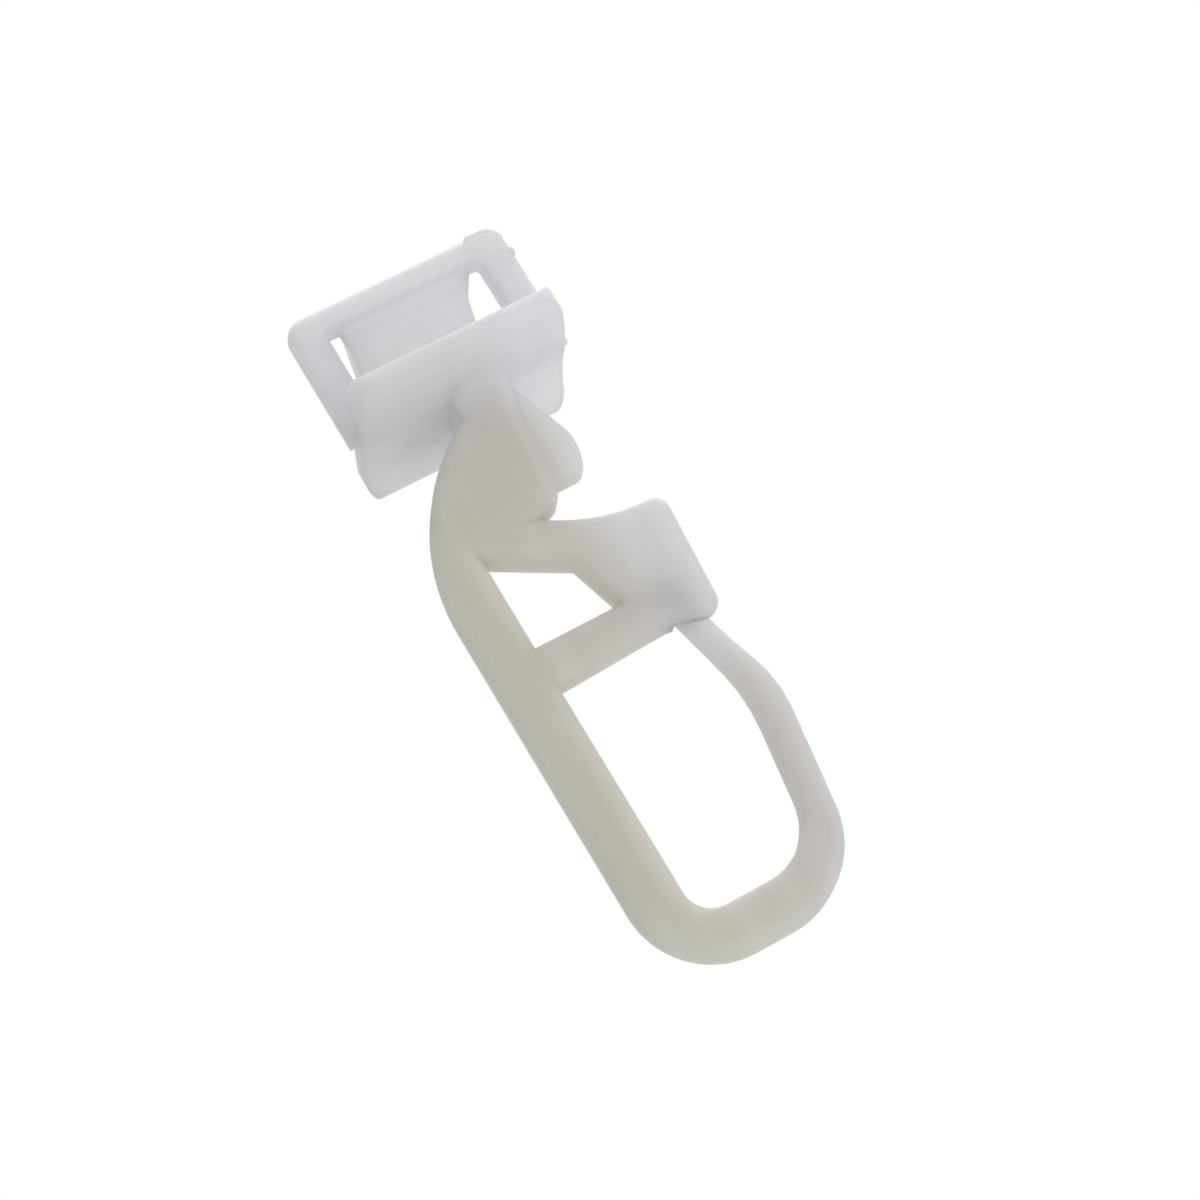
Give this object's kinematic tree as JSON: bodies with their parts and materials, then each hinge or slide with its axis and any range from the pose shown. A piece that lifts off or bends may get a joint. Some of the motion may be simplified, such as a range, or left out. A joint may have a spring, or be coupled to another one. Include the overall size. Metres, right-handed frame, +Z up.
{
  "type": "curtain hook",
  "caption": "One-piece moulded plastic curtain rail glider: a click-in spring head over a saddle plate, with a hanging pleat hook that closes behind a catch tab.",
  "frame": {"origin": "middle of the saddle plate's upper face, where it lies against the underside of the rail", "axes": "+X along the rail, +Z up as it hangs, -Y towards the viewer of the picture"},
  "size_m": [0.013, 0.0098, 0.04],
  "materials": {
    "natural_plastic": "natural translucent white, satin moulded skin"
  },
  "bodies": {
    "root": {"curtain_hook": "natural_plastic"}
  },
  "joints": []
}
